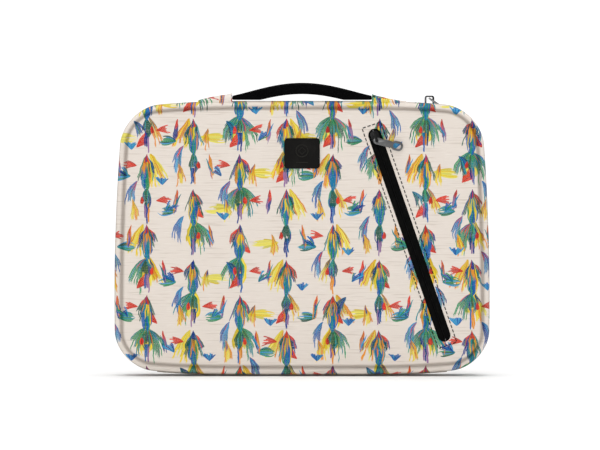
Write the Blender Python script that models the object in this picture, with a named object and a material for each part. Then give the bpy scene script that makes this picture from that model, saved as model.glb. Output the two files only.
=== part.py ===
"""Hard-shell laptop sleeve: two moulded halves, a zip round three sides and a fabric hinge below.

Metres, +Z up. The front faces -Y and +X is to the right of someone looking at it. The origin is
the middle of the underside of the hinge gusset, which is what the sleeve stands on.
"""
import math

import bmesh
import bpy
from mathutils import Vector

MM = 0.001

# Case. Every wall is an inset of one outline, so the layers nest whatever the size.
CASE_WIDTH = 350.4 * MM
CASE_TOP = 257.8 * MM
CASE_DEPTH = 35.0 * MM
CORNER_RADIUS = 35.0 * MM
EDGE_RADIUS = 7.0 * MM
SIDE_TAPER = 3.4 * MM
SIDE_BOW = 3.6 * MM
END_BOW = 8.5 * MM
ZIP_GAP = 10.0 * MM
GAP = 0.3 * MM

COVER_THICKNESS = 0.8 * MM
BOARD_THICKNESS = 4.0 * MM
LINING_THICKNESS = 1.0 * MM
LINING_EDGE_RADIUS = 1.6 * MM
BINDING_THICKNESS = 0.8 * MM
GUSSET_THICKNESS = 0.8 * MM
GUSSET_DEPTH = 24.0 * MM
GUSSET_END_RADIUS = 4.0 * MM
GUSSET_END_CLEARANCE = 4.0 * MM

# Main zip. It lies level along the top, where its slider runs.
TRACK_INSET = 3.2 * MM
TEETH_HEIGHT = 2.0 * MM
TEETH_WIDTH = 2.1 * MM
TEETH_PARTING = 1.0 * MM
TAPE_THICKNESS = 0.6 * MM
TAPE_FLANGE = 3.1 * MM
STOP_LENGTH = 3.0 * MM

SLIDER_SETBACK = 14.36 * MM
SLIDER_CORNER = 2.0 * MM
CROWN_CORNER = 2.2 * MM
CROWN_WINDOW_CORNER = 0.8 * MM
PULL_EYE_SETBACK = 2.6 * MM
BAG_SEAM = 2.0 * MM
POCKET_SLIDER_CORNER = 3.0 * MM
POCKET_CROWN_SETBACK = 0.4 * MM
POCKET_POST_LENGTH = 3.0 * MM
POCKET_LOOP_EASE = 0.6 * MM
POCKET_STEM_OVERLAP = 2.0 * MM
POCKET_EYE_EASE = 0.1 * MM
POCKET_HOLE_EASE = 0.2 * MM
SLIDER_CLEARANCE = 0.5 * MM
SLIDER_LENGTH = 9.6 * MM
SLIDER_WIDTH = 7.6 * MM
SLIDER_PLATE = 1.5 * MM
SLIDER_REAR_PLATE = 1.0 * MM
SLIDER_POST = 0.4 * MM
CROWN_LENGTH = 9.2 * MM
CROWN_WIDTH = 3.0 * MM
CROWN_HEIGHT = 9.2 * MM
CROWN_LEG = 1.8 * MM
CROWN_BAR = 1.3 * MM
PULL_WIDTH = 6.2 * MM
PULL_THICKNESS = 1.5 * MM
PULL_BAR = 1.4 * MM
PULL_REACH = 13.5 * MM
PULL_PLATE_START = 7.2 * MM
PULL_EYE = 1.1 * MM
PULL_LEAN = math.radians(34)

# Carry handle and the two shoulders that hold it.
HANDLE_LENGTH = 130.4 * MM
HANDLE_SETBACK = 1.2 * MM
HANDLE_RISE = 12.0 * MM
HANDLE_END_HEIGHT = 5.0 * MM
HANDLE_THICKNESS = 10.6 * MM
HANDLE_HALF_WIDTH = 4.8 * MM
HANDLE_CURVE = 1.15
CORE_RADIUS = 1.2 * MM
PEG_LENGTH = 8.0 * MM
PEG_SOCKET_END = 1.0 * MM
SHOULDER_LENGTH = 32.0 * MM
SHOULDER_TIP_HEIGHT = 0.9 * MM
SHOULDER_MOUTH_HEIGHT = 6.5 * MM
SHOULDER_CURVE = 0.75

# Patch.
PATCH_WIDTH = 33.3 * MM
PATCH_HEIGHT = 28.5 * MM
PATCH_THICKNESS = 1.1 * MM
PATCH_RADIUS = 3.3 * MM
PATCH_DROP = 49.5 * MM

# Slanting pocket, in its own frame: x across the zip, z up along it.
POCKET_SIDE = 74.7 * MM
POCKET_TOP_MARGIN = 26.3 * MM
POCKET_LOW_MARGIN = 30.8 * MM
POCKET_LEAN = math.radians(-19.1)
POCKET_MOUTH = 13.0 * MM
POCKET_TAPE_WIDTH = 9.2 * MM
POCKET_TAPE_OVERLAP = 3.4 * MM
POCKET_BOARD_CLEARANCE = 0.8 * MM
COIL_WIDTH = 2.0 * MM
COIL_HEIGHT = 1.5 * MM
COIL_END = 3.0 * MM
POCKET_STOP_LENGTH = 1.4 * MM
BAG_REACH = 160.5 * MM
BAG_SIDE_MARGIN = 20.2 * MM
BAG_END_MARGIN = 14.8 * MM
BAG_RADIUS = 30.0 * MM
BAG_SHEET = 0.5 * MM
BAG_SPACE = 0.9 * MM

POCKET_SLIDER_DROP = 8.3 * MM
POCKET_SLIDER_LENGTH = 11.6 * MM
POCKET_SLIDER_WIDTH = 8.0 * MM
POCKET_SLIDER_PLATE = 1.5 * MM
POCKET_REAR_PLATE = 1.0 * MM
POCKET_FLANGE = 1.0 * MM
POCKET_CROWN_WIDTH = 2.6 * MM
POCKET_CROWN_HEIGHT = 3.8 * MM
POCKET_CROWN_BAR = 1.2 * MM
POCKET_CROWN_LEG = 1.8 * MM
POCKET_PIVOT_DROP = 4.0 * MM
POCKET_PIVOT_RADIUS = 0.9 * MM
POCKET_PULL_STAND = 0.8 * MM
POCKET_PULL_THICKNESS = 1.3 * MM
POCKET_PULL_LENGTH = 28.0 * MM
POCKET_PULL_WIDTH = 6.3 * MM
POCKET_LOOP_WIDTH = 9.0 * MM
POCKET_LOOP_LENGTH = 11.0 * MM
POCKET_LOOP_HOLE = 5.0 * MM
POCKET_LOOP_WALL = 1.8 * MM
POCKET_EYE_RADIUS = 3.1 * MM
POCKET_EYE_CLEARANCE = 0.4 * MM
POCKET_PULL_LEAN = math.radians(14)

# Facets.
CORNER_STEPS = 6
SIDE_STEPS = 4
END_STEPS = 6
EDGE_STEPS = 3
ROUND_STEPS = 6

# Worked out from the sizes above.
CASE_BOTTOM = GUSSET_THICKNESS + GAP
CASE_MIDDLE = (CASE_TOP + CASE_BOTTOM) / 2
HALF_WIDTH = CASE_WIDTH / 2
HALF_HEIGHT = (CASE_TOP - CASE_BOTTOM) / 2
FACE = CASE_DEPTH / 2
RIM = ZIP_GAP / 2
BOARD_INSET = COVER_THICKNESS + GAP
LINING_INSET = BOARD_INSET + BOARD_THICKNESS + GAP
BINDING_INSET = LINING_INSET + LINING_THICKNESS + GAP
BOARD_BACK = FACE - BOARD_INSET - BOARD_THICKNESS
BAG_DEPTH = 2 * BAG_SHEET + BAG_SPACE
FRONT_LINING_FACE = BOARD_BACK - GAP - BAG_DEPTH - GAP
CORNER_START = (HALF_WIDTH - CORNER_RADIUS) * (1 - (SIDE_TAPER + SIDE_BOW) / HALF_WIDTH)
SLIDER_X = CORNER_START - SLIDER_SETBACK
TRACK_LEVEL = HALF_WIDTH - CORNER_RADIUS
TAPE_END = RIM - GAP
TEETH_START = TEETH_PARTING / 2
TEETH_END = TEETH_START + TEETH_WIDTH
TAPE_START = TEETH_END + GAP
POCKET_TAPE_FACE = FACE - BOARD_INSET
POCKET_TAPE_BACK = POCKET_TAPE_FACE - TAPE_THICKNESS
COIL_BACK = POCKET_TAPE_BACK - GAP - COIL_HEIGHT
HANDLE_Y = -(RIM + HANDLE_SETBACK + HANDLE_HALF_WIDTH)
PATCH_Z = CASE_TOP - PATCH_DROP
POCKET_X = HALF_WIDTH - POCKET_SIDE
POCKET_TOP = CASE_TOP - POCKET_TOP_MARGIN
POCKET_LOW = CASE_BOTTOM + POCKET_LOW_MARGIN
POCKET_Z = (POCKET_TOP + POCKET_LOW) / 2
POCKET_LENGTH = (POCKET_TOP - POCKET_LOW) / math.cos(POCKET_LEAN)
POCKET_SLIDER_Z = POCKET_LENGTH / 2 - POCKET_SLIDER_DROP
POCKET_TAPE_END = POCKET_LENGTH / 2 + POCKET_TAPE_OVERLAP
BOARD_SLOT_LENGTH = 2 * (POCKET_TAPE_END + POCKET_BOARD_CLEARANCE)
BOARD_SLOT_WIDTH = TEETH_PARTING + 2 * (POCKET_TAPE_WIDTH + POCKET_BOARD_CLEARANCE)
BAG_LEFT = POCKET_X - BAG_REACH
BAG_RIGHT = HALF_WIDTH - BAG_SIDE_MARGIN
BAG_LOW = CASE_BOTTOM + BAG_END_MARGIN
BAG_HIGH = CASE_TOP - BAG_END_MARGIN

FRONT = -1
BACK = 1


def clear_scene():
    for thing in list(bpy.data.objects):
        bpy.data.objects.remove(thing, do_unlink=True)


def material(name, colour, roughness, metallic=0.0):
    made = bpy.data.materials.new(name)
    made.use_nodes = True
    shader = made.node_tree.nodes["Principled BSDF"]
    shader.inputs["Base Color"].default_value = (*colour, 1.0)
    shader.inputs["Roughness"].default_value = roughness
    shader.inputs["Metallic"].default_value = metallic
    return made


def add_object(name, mesh, finish=None, parent=None, location=(0, 0, 0), turn=0.0):
    """Put a mesh into the scene, turned about Y."""
    placed = bpy.data.objects.new(name, mesh)
    bpy.context.scene.collection.objects.link(placed)
    if finish:
        mesh.materials.append(finish)
    placed.parent = parent
    placed.location = location
    placed.rotation_euler = (0, turn, 0)
    return placed


def mesh_of(name, build):
    """Close a bmesh with its faces pointing out."""
    bmesh.ops.recalc_face_normals(build, faces=build.faces)
    mesh = bpy.data.meshes.new(name)
    build.to_mesh(mesh)
    build.free()
    return mesh


def loft(name, rings, closed=False):
    """Skin a row of rings that have the same number of points; closed joins last to first."""
    build = bmesh.new()
    loops = [[build.verts.new(point) for point in ring] for ring in rings]
    following = loops[1:] + (loops[:1] if closed else [])
    for one, other in zip(loops, following):
        for k, vertex in enumerate(one):
            after = (k + 1) % len(one)
            build.faces.new((vertex, one[after], other[after], other[k]))
    if not closed:
        build.faces.new(loops[0])
        build.faces.new(loops[-1])
    return mesh_of(name, build)


def prism(name, points, low, high, plane="XZ"):
    """Extrude an outline in the XZ plane along Y, or one in the XY plane along Z."""
    def place(point, depth):
        return (point[0], depth, point[1]) if plane == "XZ" else (point[0], point[1], depth)
    return loft(name, [[place(point, depth) for point in points] for depth in (low, high)])


def rounded(low, high, radius):
    """Outline of a rectangle with round corners between two corner points."""
    points = []
    corners = ((high[0], low[1], -90), (high[0], high[1], 0), (low[0], high[1], 90), (low[0], low[1], 180))
    for x, y, start in corners:
        centre_x = x - math.copysign(radius, x - (low[0] + high[0]) / 2)
        centre_y = y - math.copysign(radius, y - (low[1] + high[1]) / 2)
        for step in range(ROUND_STEPS + 1):
            angle = math.radians(start + 90 * step / ROUND_STEPS)
            points.append((centre_x + radius * math.cos(angle), centre_y + radius * math.sin(angle)))
    return points


def block(name, low, high):
    outline = ((low[0], low[2]), (high[0], low[2]), (high[0], high[2]), (low[0], high[2]))
    return prism(name, outline, low[1], high[1])


def circle(centre, radius, steps=4 * ROUND_STEPS):
    turns = (math.tau * step / steps for step in range(steps))
    return [(centre[0] + radius * math.cos(turn), centre[1] + radius * math.sin(turn)) for turn in turns]


def combine(target, mesh, operation, name):
    """Add or cut a helper shape that shares the target's own frame."""
    helper = add_object(name, mesh, None, target.parent, target.location, target.rotation_euler.y)
    helper.hide_render = True
    helper.display_type = "WIRE"
    change = target.modifiers.new(name, "BOOLEAN")
    change.operation = operation
    change.solver = "EXACT"
    change.object = helper


def eased(x, z, level):
    """Bow and taper the case. Within level of the middle the top and bottom stay straight."""
    up = (z - CASE_MIDDLE) / HALF_HEIGHT
    bow = END_BOW * (max(abs(x), level) / HALF_WIDTH) ** 4
    x = x * (1 - (SIDE_TAPER * up + SIDE_BOW * up * up) / HALF_WIDTH)
    return x, CASE_MIDDLE + (z - CASE_MIDDLE) * (1 - bow / HALF_HEIGHT)


def outline(inset, level=0.0):
    """Points round the case from the bottom right corner, up, over the top and down to the left."""
    radius = CORNER_RADIUS - inset
    arcs = []
    for side_x, side_z, start in ((1, -1, -90), (1, 1, 0), (-1, 1, 90), (-1, -1, 180)):
        centre_x = side_x * (HALF_WIDTH - CORNER_RADIUS)
        centre_z = CASE_MIDDLE + side_z * (HALF_HEIGHT - CORNER_RADIUS)
        turns = (math.radians(start + 90 * step / CORNER_STEPS) for step in range(CORNER_STEPS + 1))
        arcs.append([(centre_x + radius * math.cos(t), centre_z + radius * math.sin(t)) for t in turns])
    points = []
    for arc, following, steps in zip(arcs, arcs[1:] + arcs[:1], (SIDE_STEPS, END_STEPS) * 2):
        points += arc
        start, end = Vector(arc[-1]), Vector(following[0])
        points += [tuple(start.lerp(end, step / steps)) for step in range(1, steps)]
    return [eased(x, z, level) for x, z in points]


def zip_path(inset):
    """The part of the level outline that the main zip follows, without the bottom edge."""
    return outline(inset, TRACK_LEVEL)[:1 - END_STEPS]


def track_height(inset):
    return eased(0, CASE_TOP - inset, TRACK_LEVEL)[1]


def at_depth(points, depth):
    return [(x, depth, z) for x, z in points]


def tray(name, side, inset, face, radius, thickness, finish):
    """One nested layer of a half: flat face, rounded edge, wall up to the rim."""
    inner_radius = radius - thickness
    outer, inner = [], []
    for step in range(EDGE_STEPS + 1):
        turn = math.radians(90 * step / EDGE_STEPS)
        along, down = 1 - math.sin(turn), 1 - math.cos(turn)
        outer.append((inset + radius * along, face - radius * down))
        inner.append((inset + thickness + inner_radius * along, face - thickness - inner_radius * down))
    section = outer + [(inset, RIM), (inset + thickness, RIM)] + inner[::-1]
    rings = [at_depth(outline(step_in), side * depth) for step_in, depth in section]
    return add_object(name, loft(name, rings), finish)


def edging(name, section, side, finish):
    """Sweep an (inset, depth) section along the main zip's path."""
    paths = [(zip_path(inset), side * depth) for inset, depth in section]
    stations = range(len(paths[0][0]))
    rings = [[(path[k][0], depth, path[k][1]) for path, depth in paths] for k in stations]
    return add_object(name, loft(name, rings), finish)


def make_half(side, word, finishes, lining_face):
    """Cover, shell, lining, binding, zip tape and zip teeth of one half."""
    tray(word + "_cover", side, 0, FACE, EDGE_RADIUS, COVER_THICKNESS, finishes["canvas"])
    tray(word + "_shell", side, BOARD_INSET, FACE - BOARD_INSET, EDGE_RADIUS - BOARD_INSET,
         BOARD_THICKNESS, finishes["foam"])
    tray(word + "_lining", side, LINING_INSET, lining_face, LINING_EDGE_RADIUS, LINING_THICKNESS,
         finishes["lining"])
    near, far = BINDING_INSET, BINDING_INSET + BINDING_THICKNESS
    deep = lining_face - LINING_EDGE_RADIUS - GAP
    section = ((near, RIM), (near, deep), (far, deep), (far, RIM))
    rings = [at_depth(outline(inset), side * depth) for inset, depth in section]
    add_object(word + "_binding", loft(word + "_binding", rings, closed=True), finishes["binding"])

    top = TRACK_INSET - TAPE_THICKNESS / 2
    low = top + TAPE_THICKNESS
    flange = TAPE_END - TAPE_THICKNESS
    tape = ((top, TAPE_START), (top, TAPE_END), (top + TAPE_FLANGE, TAPE_END),
            (top + TAPE_FLANGE, flange), (low, flange), (low, TAPE_START))
    edging(word + "_zip_tape", tape, side, finishes["tape"])
    high, low = TRACK_INSET - TEETH_HEIGHT / 2, TRACK_INSET + TEETH_HEIGHT / 2
    teeth = ((high, TEETH_START), (high, TEETH_END), (low, TEETH_END), (low, TEETH_START))
    edging(word + "_zip_teeth", teeth, side, finishes["teeth"])


def make_hinge(finishes):
    """Gusset under both halves, and the stops in which the main zip ends beside it."""
    reach = HALF_WIDTH - CORNER_RADIUS - GUSSET_END_CLEARANCE
    edge = rounded((-reach, -GUSSET_DEPTH / 2), (reach, GUSSET_DEPTH / 2), GUSSET_END_RADIUS)
    add_object("hinge_gusset", prism("hinge_gusset", edge, 0, GUSSET_THICKNESS, "XY"), finishes["binding"])
    for word, index, away in (("right", 0, -1), ("left", -1, 1)):
        ends = [zip_path(TRACK_INSET + offset)[index] for offset in (-TEETH_HEIGHT / 2, TEETH_HEIGHT / 2)]
        x = ends[0][0] + away * GAP
        low, high = ends[0][1], ends[1][1]
        span = sorted((x, x + away * STOP_LENGTH))
        body = block("zip_stop_" + word, (span[0], -TEETH_END, low), (span[1], TEETH_END, high))
        add_object("zip_stop_" + word, body, finishes["steel"])


def make_main_slider(finishes):
    """Slider astride the main zip and its pull, which leans over to the right."""
    plate_low = track_height(TRACK_INSET - TEETH_HEIGHT / 2) + SLIDER_CLEARANCE
    plate_top = plate_low + SLIDER_PLATE
    rear_top = track_height(TRACK_INSET + TEETH_HEIGHT / 2) - SLIDER_CLEARANCE
    rear_low = rear_top - SLIDER_REAR_PLATE
    crown_top = plate_top + CROWN_HEIGHT
    half_width, half_crown = SLIDER_WIDTH / 2, CROWN_LENGTH / 2

    shape = rounded((-SLIDER_LENGTH / 2, -half_width), (SLIDER_LENGTH / 2, half_width), SLIDER_CORNER)
    slider = add_object("main_slider", prism("main_slider", shape, plate_low, plate_top, "XY"),
                        finishes["nickel"], location=(SLIDER_X, 0, 0))
    crown = rounded((-half_crown, plate_low + SLIDER_PLATE / 2), (half_crown, crown_top), CROWN_CORNER)
    combine(slider, prism("crown", crown, -CROWN_WIDTH / 2, CROWN_WIDTH / 2), "UNION", "crown")
    window = rounded((CROWN_LEG - half_crown, plate_top), (half_crown - CROWN_LEG, crown_top - CROWN_BAR),
                     CROWN_WINDOW_CORNER)
    combine(slider, prism("crown_window", window, -CROWN_WIDTH, CROWN_WIDTH), "DIFFERENCE", "crown_window")
    post_low, post_high = (rear_low + rear_top) / 2, (plate_low + plate_top) / 2
    post = block("post", (-half_crown, -SLIDER_POST / 2, post_low), (CROWN_LEG - half_crown, SLIDER_POST / 2,
                                                                     post_high))
    combine(slider, post, "UNION", "post")
    rear = prism("rear_plate", shape, rear_low, rear_top, "XY")
    combine(slider, rear, "UNION", "rear_plate")

    pivot = (SLIDER_X, 0, crown_top - CROWN_BAR - PULL_THICKNESS / 2 - GAP - GAP)
    half_bar, half_pull = PULL_BAR / 2, PULL_WIDTH / 2
    frame = rounded((-half_bar, -half_pull), (PULL_REACH, half_pull), half_bar)
    pull = add_object("main_pull", prism("main_pull", frame, -PULL_THICKNESS / 2, PULL_THICKNESS / 2, "XY"),
                      finishes["nickel"], location=pivot, turn=PULL_LEAN)
    opening = CROWN_WIDTH / 2 + GAP
    gap = block("pull_window", (half_bar, -opening, -PULL_THICKNESS), (PULL_PLATE_START, opening, PULL_THICKNESS))
    combine(pull, gap, "DIFFERENCE", "pull_window")
    eye = circle((PULL_REACH - PULL_EYE_SETBACK, 0), PULL_EYE)
    combine(pull, prism("pull_eye", eye, -PULL_THICKNESS, PULL_THICKNESS, "XY"), "DIFFERENCE", "pull_eye")


def handle_section(along):
    """Height of the middle, half height and half width of the grip, from -1 to 1 along it."""
    wave = max(0.0, math.cos(math.pi * along / 2)) ** HANDLE_CURVE
    top = CASE_TOP + HANDLE_END_HEIGHT + HANDLE_RISE * wave
    low = max(top - HANDLE_THICKNESS, CASE_TOP + GAP)
    return (top + low) / 2, (top - low) / 2, HANDLE_HALF_WIDTH * (0.92 + 0.08 * wave)


def make_handle(finishes):
    """Arched grip with a rod through it, whose ends turn in the shoulders."""
    stations = [math.sin(math.pi * (step / 18 - 0.5)) for step in range(19)]
    turns = [math.tau * step / 14 for step in range(14)]
    outside, bore, rod = [], [], []
    for along in stations:
        x = along * HANDLE_LENGTH / 2
        middle, half_height, half_width = handle_section(along)
        outside.append([(x, HANDLE_Y + half_width * math.cos(t), middle + half_height * math.sin(t))
                        for t in turns])
        for ring, radius in ((bore, CORE_RADIUS + GAP), (rod, CORE_RADIUS)):
            ring.append([(x, HANDLE_Y + radius * math.cos(t), middle + radius * math.sin(t)) for t in turns])
    add_object("handle_grip", loft("handle_grip", outside + bore[::-1], closed=True), finishes["handle"])
    first = [(x - PEG_LENGTH, y, z) for x, y, z in rod[0]]
    last = [(x + PEG_LENGTH, y, z) for x, y, z in rod[-1]]
    add_object("handle_core", loft("handle_core", [first] + rod + [last]), finishes["steel"])


def make_shoulder(word, side, finishes):
    """Padded wedge that grows out of the top edge up to the mouth that holds the handle."""
    mouth = side * (HANDLE_LENGTH / 2 + GAP)
    base = CASE_TOP + GAP
    rings = []
    for step in range(7):
        share = step / 6
        x = mouth + side * SHOULDER_LENGTH * (1 - share)
        rise = SHOULDER_MOUTH_HEIGHT - SHOULDER_TIP_HEIGHT
        height = SHOULDER_TIP_HEIGHT + rise * share ** SHOULDER_CURVE - GAP
        turns = (math.pi * k / 8 for k in range(9))
        rings.append([(x, HANDLE_Y + HANDLE_HALF_WIDTH * math.cos(t), base + height * math.sin(t) ** 0.7
                       if 0 < t < math.pi else base) for t in turns])
    name = word + "_shoulder"
    body = add_object(name, loft(name, rings), finishes["canvas"])
    middle = handle_section(1.0)[0]
    hole = circle((HANDLE_Y, middle), CORE_RADIUS + GAP, 14)
    start, end = mouth - side * MM, mouth + side * (PEG_LENGTH + PEG_SOCKET_END)
    cut = loft("socket_" + word, [[(x, y, z) for y, z in hole] for x in (start, end)])
    combine(body, cut, "DIFFERENCE", "socket_" + word)


def make_patch(finishes):
    half_width, half_height = PATCH_WIDTH / 2, PATCH_HEIGHT / 2
    edge = rounded((-half_width, PATCH_Z - half_height), (half_width, PATCH_Z + half_height), PATCH_RADIUS)
    back = -FACE - GAP
    add_object("logo_patch", prism("logo_patch", edge, back - PATCH_THICKNESS, back), finishes["rubber"])


def slot_shape(name, length, width, radius, low, high):
    edge = rounded((-width / 2, -length / 2), (width / 2, length / 2), radius)
    return prism(name, edge, low, high)


def cut_in_frame(target, mesh, frame, name):
    """Cut a shape that lies in the pocket's frame out of a piece that doesn't."""
    cutter = add_object(name, mesh, parent=frame)
    cutter.hide_render = True
    cutter.display_type = "WIRE"
    change = target.modifiers.new(name, "BOOLEAN")
    change.solver = "EXACT"
    change.object = cutter


def cut_pocket(frame):
    """Mouth in the cover, and the wider slot in the shell behind it."""
    mouth = slot_shape("cover_slot", POCKET_LENGTH, POCKET_MOUTH, POCKET_MOUTH / 2, -FACE - MM, -BOARD_BACK)
    cut_in_frame(bpy.data.objects["front_cover"], mouth, frame, "cover_slot")
    slot = slot_shape("shell_slot", BOARD_SLOT_LENGTH, BOARD_SLOT_WIDTH, POCKET_BOARD_CLEARANCE,
                      -FACE - MM, -BOARD_BACK + MM)
    cut_in_frame(bpy.data.objects["front_shell"], slot, frame, "shell_slot")


def make_pocket(frame, finishes):
    """Tapes, coils and stops of the slanting zip, and the flat bag behind it."""
    half_parting = TEETH_PARTING / 2
    half_length = POCKET_LENGTH / 2
    coil_top, coil_low = half_length - COIL_END, -half_length + COIL_END
    for word, side in (("left", -1), ("right", 1)):
        across = sorted((side * half_parting, side * (half_parting + POCKET_TAPE_WIDTH)))
        tape = block("pocket_tape", (across[0], -POCKET_TAPE_FACE, -POCKET_TAPE_END),
                     (across[1], -POCKET_TAPE_BACK, POCKET_TAPE_END))
        add_object("pocket_tape_" + word, tape, finishes["coated"], parent=frame)
        across = sorted((side * half_parting, side * (half_parting + COIL_WIDTH)))
        coil = block("pocket_coil", (across[0], -POCKET_TAPE_BACK + GAP, coil_low),
                     (across[1], -COIL_BACK, coil_top))
        add_object("pocket_coil_" + word, coil, finishes["teeth"], parent=frame)
    reach = half_parting + COIL_WIDTH
    for word, start in (("top", coil_top + GAP), ("bottom", coil_low - GAP - POCKET_STOP_LENGTH)):
        stop = block("pocket_stop", (-reach, -POCKET_TAPE_BACK + GAP, start),
                     (reach, -COIL_BACK, start + POCKET_STOP_LENGTH))
        add_object("pocket_stop_" + word, stop, finishes["steel"], parent=frame)

    front, rear = -BOARD_BACK + GAP, -BOARD_BACK + GAP + BAG_DEPTH
    edge = rounded((BAG_LEFT, BAG_LOW), (BAG_RIGHT, BAG_HIGH), BAG_RADIUS)
    bag = add_object("pocket_bag", prism("pocket_bag", edge, front, rear), finishes["lining"])
    seam = BAG_SEAM
    inside = rounded((BAG_LEFT + seam, BAG_LOW + seam), (BAG_RIGHT - seam, BAG_HIGH - seam), BAG_RADIUS - seam)
    space = prism("bag_space", inside, front + BAG_SHEET, rear - BAG_SHEET)
    combine(bag, space, "DIFFERENCE", "bag_space")
    mouth = slot_shape("bag_mouth", BOARD_SLOT_LENGTH, BOARD_SLOT_WIDTH, POCKET_BOARD_CLEARANCE,
                       front - MM, front + BAG_SHEET + BAG_SPACE / 2)
    cut_in_frame(bag, mouth, frame, "bag_mouth")


def make_pocket_slider(frame, finishes):
    """Slider with a crown whose lower leg is a round pin, and the flat pull that turns on it."""
    half_width, half_length = POCKET_SLIDER_WIDTH / 2, POCKET_SLIDER_LENGTH / 2
    back = -POCKET_TAPE_FACE - GAP
    face = back - POCKET_SLIDER_PLATE
    crown_face = face - POCKET_CROWN_HEIGHT
    bar_back = crown_face + POCKET_CROWN_BAR
    plate = rounded((-half_width, -half_length), (half_width, half_length), POCKET_SLIDER_CORNER)
    slider = add_object("pocket_slider", prism("pocket_slider", plate, face, back), finishes["gunmetal"],
                        parent=frame, location=(0, 0, POCKET_SLIDER_Z))
    half_crown = POCKET_CROWN_WIDTH / 2
    crown_low = -POCKET_PIVOT_DROP - half_crown
    crown_top = half_length - POCKET_CROWN_SETBACK
    middle = (face + back) / 2
    bar = rounded((-half_crown, crown_low), (half_crown, crown_top), half_crown)
    combine(slider, prism("crown_bar", bar, crown_face, bar_back), "UNION", "crown_bar")
    leg = block("crown_leg", (-half_crown, (crown_face + bar_back) / 2, crown_top - POCKET_CROWN_LEG - MM),
                (half_crown, middle, crown_top - MM))
    combine(slider, leg, "UNION", "crown_leg")
    pin = circle((0, -POCKET_PIVOT_DROP), POCKET_PIVOT_RADIUS, 16)
    combine(slider, prism("crown_pin", pin, (crown_face + bar_back) / 2, middle), "UNION", "crown_pin")
    rear_face = -COIL_BACK + GAP
    rear_back = rear_face + POCKET_REAR_PLATE
    rear_middle = (rear_face + rear_back) / 2
    post = block("pocket_post", (-SLIDER_POST / 2, middle, crown_top - POCKET_POST_LENGTH),
                 (SLIDER_POST / 2, rear_middle, crown_top - MM))
    combine(slider, post, "UNION", "pocket_post")
    outer = TEETH_PARTING / 2 + COIL_WIDTH + GAP + POCKET_FLANGE
    rear = block("pocket_rear", (-outer, rear_face, -half_length), (outer, rear_back, half_length))
    combine(slider, rear, "UNION", "pocket_rear")
    for side in (-1, 1):
        across = sorted((side * outer, side * (outer - POCKET_FLANGE)))
        flange = block("pocket_flange", (across[0], -POCKET_TAPE_BACK + GAP, -half_length),
                       (across[1], rear_middle, half_length))
        combine(slider, flange, "UNION", "pocket_flange")

    pivot = frame.matrix_basis @ Vector((0, 0, POCKET_SLIDER_Z - POCKET_PIVOT_DROP))
    near = face - POCKET_PULL_STAND
    far = near - POCKET_PULL_THICKNESS
    half_pull, half_loop = POCKET_PULL_WIDTH / 2, POCKET_LOOP_WIDTH / 2
    tip = POCKET_PULL_LENGTH - POCKET_EYE_RADIUS
    loop_start = tip - POCKET_LOOP_LENGTH
    loop = rounded((loop_start, -half_loop), (tip, half_loop), half_loop - POCKET_LOOP_EASE)
    pull = add_object("pocket_pull", prism("pocket_pull", loop, far, near), finishes["gunmetal"],
                      location=pivot, turn=POCKET_PULL_LEAN)
    stem = rounded((-POCKET_EYE_RADIUS, -half_pull), (loop_start + POCKET_STEM_OVERLAP, half_pull),
                   POCKET_EYE_RADIUS - POCKET_EYE_EASE)
    combine(pull, prism("pull_stem", stem, far, near), "UNION", "pull_stem")
    eye = circle((0, 0), POCKET_PIVOT_RADIUS + POCKET_EYE_CLEARANCE, 16)
    combine(pull, prism("pull_pin_eye", eye, far - MM, near + MM), "DIFFERENCE", "pull_pin_eye")
    half_hole = POCKET_LOOP_HOLE / 2
    hole = rounded((loop_start + POCKET_LOOP_WALL, -half_hole), (tip - POCKET_LOOP_WALL, half_hole),
                   half_hole - POCKET_HOLE_EASE)
    combine(pull, prism("pull_loop_hole", hole, far - MM, near + MM), "DIFFERENCE", "pull_loop_hole")


def make_finishes():
    return {
        "canvas": material("printed_canvas", (0.72, 0.64, 0.57), 0.9),
        "foam": material("eva_foam", (0.03, 0.03, 0.032), 0.85),
        "lining": material("lining_fleece", (0.05, 0.05, 0.055), 0.95),
        "binding": material("edge_binding", (0.55, 0.49, 0.43), 0.9),
        "tape": material("zip_tape", (0.62, 0.56, 0.5), 0.85),
        "teeth": material("zip_teeth", (0.5, 0.45, 0.4), 0.45),
        "coated": material("coated_zip_tape", (0.006, 0.006, 0.006), 0.5),
        "rubber": material("patch_rubber", (0.01, 0.009, 0.008), 0.6),
        "handle": material("handle_webbing", (0.008, 0.008, 0.009), 0.8),
        "steel": material("spring_steel", (0.4, 0.4, 0.42), 0.35, 1.0),
        "nickel": material("bright_nickel", (0.7, 0.7, 0.7), 0.2, 1.0),
        "gunmetal": material("gunmetal", (0.09, 0.09, 0.09), 0.4, 1.0),
    }


def make_sleeve():
    clear_scene()
    finishes = make_finishes()
    make_half(BACK, "back", finishes, BOARD_BACK - GAP)
    make_half(FRONT, "front", finishes, FRONT_LINING_FACE)
    make_hinge(finishes)
    make_main_slider(finishes)
    make_handle(finishes)
    make_shoulder("left", -1, finishes)
    make_shoulder("right", 1, finishes)
    make_patch(finishes)
    frame = add_object("pocket_frame", None, location=(POCKET_X, 0, POCKET_Z), turn=POCKET_LEAN)
    cut_pocket(frame)
    make_pocket(frame, finishes)
    make_pocket_slider(frame, finishes)


make_sleeve()
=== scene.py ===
"""Looks of the printed hard-shell laptop sleeve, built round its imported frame. Metres, +Z up, front at -Y."""
import math

import bmesh
import bpy
from mathutils import Matrix, Vector


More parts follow.
